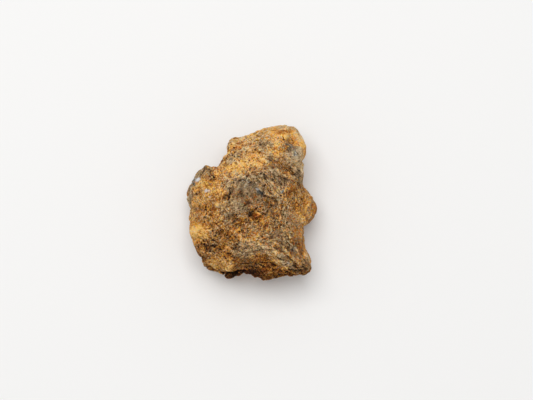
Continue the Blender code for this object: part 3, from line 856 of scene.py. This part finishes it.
noises = {}
for name, (size_mm, detail, roughness, distortion) in PATTERNS.items():
    shift = {"Vector": place, "Location": (len(noises) * APART, 0.0, 0.0)}
    shape = {"Vector": add(tree, "Mapping", None, shift).outputs[0], "Scale": 1 / (size_mm * MM)}
    shape.update({"Detail": detail, "Roughness": roughness, "Distortion": distortion})
    noises[name] = add(tree, "TexNoise", None, shape).outputs["Fac"]
print("noise patterns:", ", ".join(noises))

# %% [markdown]
# ## Pinholes and cracks
# Where the iron has rotted out, the crust is full of pinholes about 0.4 mm apart. Cell noise puts one in
# the middle of each cell. Even cells would look like a grater, so their coordinates are bent first. The
# winding noise crosses its middle value along thin lines, and these are the cracks between the grains.

# %% Pinholes and cracks
# A pinhole fades in from 0.42 to 0.2 of the gap from its middle. The patchy noise says where they lie,
# and a porous zone brings on more of them
PINHOLE_GAP = 0.42 * MM
BEND = 0.4 * MM
POROUS_WEIGHT = 0.15
SUM = {"operation": "MULTIPLY_ADD"}

bend = add(tree, "TexNoise", None, {"Vector": place, "Scale": 1 / BEND, "Detail": 2.0}).outputs["Color"]
bent = add(tree, "VectorMath", SUM, {0: bend, 1: (BEND, BEND, BEND), 2: place}).outputs[0]
holes = add(tree, "TexVoronoi", None, {"Vector": bent, "Scale": 1 / PINHOLE_GAP}).outputs["Distance"]
hole = add(tree, "MapRange", None, {"Value": holes, "From Min": 0.42, "From Max": 0.2}).outputs[0]
level = add(tree, "Math", SUM, {0: kept["porous"], 1: POROUS_WEIGHT, 2: noises["patchy"]}).outputs[0]
share = add(tree, "MapRange", None, {"Value": level, "From Min": 0.46, "From Max": 0.64}).outputs[0]
noises["pinholes"] = add(tree, "Math", {"operation": "MULTIPLY"}, {0: hole, 1: share}).outputs[0]

crest = add(tree, "Math", {"operation": "PINGPONG"}, {0: noises["winding"], 1: 0.5}).outputs[0]
thin = {"Value": crest, "From Min": 0.47, "From Max": 0.495}
noises["cracks"] = add(tree, "MapRange", None, thin).outputs[0]
print("with", PINHOLE_GAP / MM, "mm from pinhole to pinhole")

# %% [markdown]
# ## One tone for each spot
# Rust has many close tones, and the eye reads them as depth. One number, the tone, says how pale a spot
# is: the grain patterns, the hollows and the zones push it up or down. Every finish reads the same tone,
# so the grain runs on across a border. Where the relief is worn, the pattern is calmer too.

# %% One tone value for each spot
# Source: its weight and its middle value
GRAIN = {
    "streaks": (0.4, 0.5),
    "speckle": (2.1, 0.5),
    "patchy": (0.5, 0.5),
    # Pinholes and cracks darken the tone: partly dark oxide in them, partly painted shade in the holes and
    # cracks
    "pinholes": (-0.6, 0.13),
    "cracks": (-0.42, 0.14),
    "fine_fibres": (0.1, 0.0),
    "long_fibres": (0.04, 0.0),
}
# The sunk rows darken hollows and lighten highs: partly oxide and rubbing, partly painted shade and painted
# light
PLACE = {
    "fine_sunk": (-0.13, 0.0),
    "middle_sunk": (-0.07, 0.0),
    "broad_sunk": (-0.13, 0.0),
    "ochre": (0.2, 0.0),
    "brown": (-0.3, 0.0),
    "steel": (-0.08, 0.0),
}
MIDDLE_TONE = 0.49
WORN_GRAIN = 0.5

sources = {**kept, **noises}
sums = []
for table in (GRAIN, PLACE):
    total = -sum(weight * middle for weight, middle in table.values())
    for name, (weight, middle) in table.items():
        total = add(tree, "Math", SUM, {0: sources[name], 1: weight, 2: total}).outputs[0]
    sums.append(total)
calming = {"Value": kept["worn"], "To Min": 1.0, "To Max": WORN_GRAIN}
calm = add(tree, "MapRange", None, calming).outputs[0]
grain = add(tree, "Math", SUM, {0: sums[0], 1: calm, 2: MIDDLE_TONE}).outputs[0]
tone = add(tree, "Math", {"operation": "ADD"}, {0: grain, 1: sums[1]}).outputs[0]
print("the tone sums up", len(GRAIN) + len(PLACE), "sources")

# %% [markdown]
# ## From tone to colour
# Each finish has a ramp of six evenly spaced colours, from its cracks to its rubbed grains. Painting one
# colour lighter and darker would look like dyed sand: real ochre is red brown where it is dark and cream
# where it is pale.

# %% A colour ramp for each finish
RAMPS = {
    "ochre crust": ("#1e0e03", "#5e340e", "#935a1c", "#bd7c2c", "#e3a040", "#f8c970"),
    "olive crust": ("#1f160c", "#56432c", "#7e6748", "#9d8561", "#bda27a", "#dec89f"),
    "magnetite": ("#1b1814", "#38342c", "#545047", "#757063", "#969082", "#cfccc4"),
    "fresh rust": ("#2a1207", "#532709", "#7b3d12", "#9f541a", "#c27325", "#dc8d38"),
}
ramps = {}
for name, colours in RAMPS.items():
    stops = {index / (len(colours) - 1): colour for index, colour in enumerate(colours)}
    ramps[name] = add(tree, "ValToRGB", {"stops": stops}, {"Fac": tone}).outputs[0]
print("colour ramps:", ", ".join(ramps))

# %% [markdown]
# ## Finishes over each other
# The finishes don't meet along a clean line: grey grains show through the ochre one by one. So a noise of
# grain size decides which finish a grain takes, and the zones only shift the odds. The ochre crust lies
# below and the others come over it, and last the hue wavers a little from grain to grain.

# %% How much of each finish shows
# Finish: its noise, zones with their weights, and the sums at which it starts and is complete
SHARES = {
    "olive crust": (
        "greying", {"olive": 0.15, "ochre": -0.035, "brown": -0.03, "rust": -0.1}, 0.465, 0.56
    ),
    "magnetite": ("steeling", {"steel": 0.3, "olive": 0.06, "ochre": -0.1}, 0.62, 0.8),
    "fresh rust": ("rusting", {"rust": 0.25}, 0.6, 0.85),
}
shares = {}
for name, (pattern, zones, least, most) in SHARES.items():
    level = noises[pattern]
    for zone, weight in zones.items():
        level = add(tree, "Math", SUM, {0: kept[zone], 1: weight, 2: level}).outputs[0]
    ends = {"Value": level, "From Min": least, "From Max": most}
    shares[name] = add(tree, "MapRange", {"interpolation_type": "SMOOTHSTEP"}, ends).outputs[0]
print("over the ochre crust:", ", ".join(shares))

# %% Lay the finishes over each other and vary the hue
# A Mix node has a Factor and sockets A, B and Result for each kind of value, so its colours go by number
BELOW = 6
ABOVE = 7
RESULT = 2
MIX = {"data_type": "RGBA"}
HUE_SWING = -0.14
HUE_MIDDLE = 0.5668

colour = ramps["ochre crust"]
for name, share in shares.items():
    layers = {"Factor": share, BELOW: colour, ABOVE: ramps[name]}
    colour = add(tree, "Mix", MIX, layers).outputs[RESULT]

turned = add(tree, "Math", SUM, {0: noises["tinting"], 1: HUE_SWING, 2: HUE_MIDDLE}).outputs[0]
colour = add(tree, "HueSaturation", None, {"Hue": turned, "Color": colour}).outputs[0]

# %% Bare metal with its painted glint last
# Near white: a painted highlight where the bare metal catches the light
PAINTED_GLINT_WHITE = "#e4e2e0"

shine = {"Value": kept["glints"], "From Min": 0.15, "From Max": 0.9}
bare_metal_and_glint = add(tree, "MapRange", None, shine).outputs[0]
layers = {"Factor": bare_metal_and_glint, BELOW: colour, ABOVE: linear(PAINTED_GLINT_WHITE)}
colour = add(tree, "Mix", MIX, layers).outputs[RESULT]
tree.links.new(colour, shader.inputs["Base Color"])

# %% [markdown]
# ## Gloss and the finest bumps
# Powdery oxide hardly shines, so its roughness is near 1 and its gloss is weak. Metal and magnetite are a
# little smoother, under a film of rust. Grains finer than the skin's faces can't be moved as vertices, so
# the same patterns that colour them also tilt the light on them as a bump.

# %% Gloss
OXIDE_ROUGHNESS = 0.95
METAL_ROUGHNESS = 0.7
MOST_METALLIC = 0.1

either = {0: shares["magnetite"], 1: bare_metal_and_glint}
metal_share = add(tree, "Math", {"operation": "MAXIMUM"}, either).outputs[0]
roughness = {"Value": metal_share, "To Min": OXIDE_ROUGHNESS, "To Max": METAL_ROUGHNESS}
tree.links.new(add(tree, "MapRange", None, roughness).outputs[0], shader.inputs["Roughness"])
metallic = {"Value": metal_share, "To Min": 0.0, "To Max": MOST_METALLIC}
tree.links.new(add(tree, "MapRange", None, metallic).outputs[0], shader.inputs["Metallic"])
# A common mineral's IOR, with most of its gloss lost in the pores
shader.inputs["IOR"].default_value = 1.5
shader.inputs["Specular IOR Level"].default_value = 0.1
print("roughness", METAL_ROUGHNESS, "to", OXIDE_ROUGHNESS)

# %% The finest bumps
# Pattern: its weight beside the streaks
BUMPS = {"speckle": 0.8, "pinholes": -0.4, "cracks": -0.25}
BUMP_DEPTH = 0.12 * MM

height = noises["streaks"]
for name, weight in BUMPS.items():
    height = add(tree, "Math", SUM, {0: noises[name], 1: weight, 2: height}).outputs[0]
bump = add(tree, "Bump", None, {"Strength": 0.6, "Distance": BUMP_DEPTH, "Height": height})
tree.links.new(bump.outputs[0], shader.inputs["Normal"])

# %% Dress the stone
skin.materials.clear()
skin.materials.append(crust)
skin.shade_smooth()
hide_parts("meteorite")
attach(stone, "root")
print("the crust has", len(tree.nodes), "nodes")

# %% [markdown]
# ## Floor
# The stone lies on a plain pale floor. It is one large square, so that its edge is never in view, and it
# throws light up under the stone. Matt paint has a high roughness, so the eye sees no gloss on it.

# %% Floor
FLOOR_HALF = 0.6

floor_mesh = bpy.data.meshes.new("floor")
corners = [(x * FLOOR_HALF, y * FLOOR_HALF, 0) for x, y in ((-1, -1), (1, -1), (1, 1), (-1, 1))]
floor_mesh.from_pydata(corners, [], [(0, 1, 2, 3)])
floor = bpy.data.objects.new("floor", floor_mesh)
bpy.context.scene.collection.objects.link(floor)

paint = bpy.data.materials.new("matt white paint")
paint.use_nodes = True
paint_shader = paint.node_tree.nodes["Principled BSDF"]
paint_shader.inputs["Base Color"].default_value = linear("#f1f0ee")
paint_shader.inputs["Roughness"].default_value = 0.9
floor_mesh.materials.append(paint)
print("floor", FLOOR_HALF * 2, "m across")

# %% [markdown]
# ## Soft light
# Fine relief needs light from one side to throw shadows, and soft light to keep them open. A large square
# lamp high up and a little behind does the first, and an even pale sky does the second.

# %% Soft light
scene = bpy.context.scene
scene.view_settings.view_transform = "Standard"
world = bpy.data.worlds.new("soft room")
scene.world = world
world.use_nodes = True
sky = world.node_tree.nodes["Background"]
sky.inputs["Color"].default_value = linear("#f6f7f9")
sky.inputs["Strength"].default_value = 0.5


def softbox(name, place_mm, size_mm, watts):
    """A square area light that faces the stone."""
    light = bpy.data.lights.new(name, "AREA")
    light.size = size_mm * MM
    light.energy = watts
    holder = bpy.data.objects.new(name, light)
    scene.collection.objects.link(holder)
    holder.location = Vector(place_mm) * MM
    holder.rotation_euler = (-holder.location).to_track_quat("-Z", "Y").to_euler()
    print(name, "of", watts, "W,", round(holder.location.length, 2), "m away")


softbox("window", (-40, 108, 440), 300, 1.42)

# %% [markdown]
# ## Camera
# The stone is seen from nearly straight above through a long lens, so its sides hardly show. The lens
# follows from how many millimetres the frame takes in across, and two offsets move the stone in it.

# %% Camera
ACROSS_MM = 69.3
LOOK_AT = (0.0, 0.0, 4.5)
ELEVATION = math.radians(85)
DISTANCE = 350
FRAME_OFFSET = (1.9, 0.35)
SENSOR = 36

camera_data = bpy.data.cameras.new("camera")
camera_data.sensor_width = SENSOR
camera_data.lens = SENSOR * DISTANCE / ACROSS_MM
camera_data.clip_start = 0.01
camera_data.clip_end = 5
camera = bpy.data.objects.new("camera", camera_data)
scene.collection.objects.link(camera)
back = Vector((0, -math.cos(ELEVATION), math.sin(ELEVATION)))
turn = (-back).to_track_quat("-Z", "Y")
right, up = turn @ Vector((1, 0, 0)), turn @ Vector((0, 1, 0))
aside = right * FRAME_OFFSET[0] + up * FRAME_OFFSET[1]
camera.location = (Vector(LOOK_AT) + back * DISTANCE + aside) * MM
camera.rotation_mode = "QUATERNION"
camera.rotation_quaternion = turn
scene.camera = camera
print("lens", round(camera_data.lens), "mm")
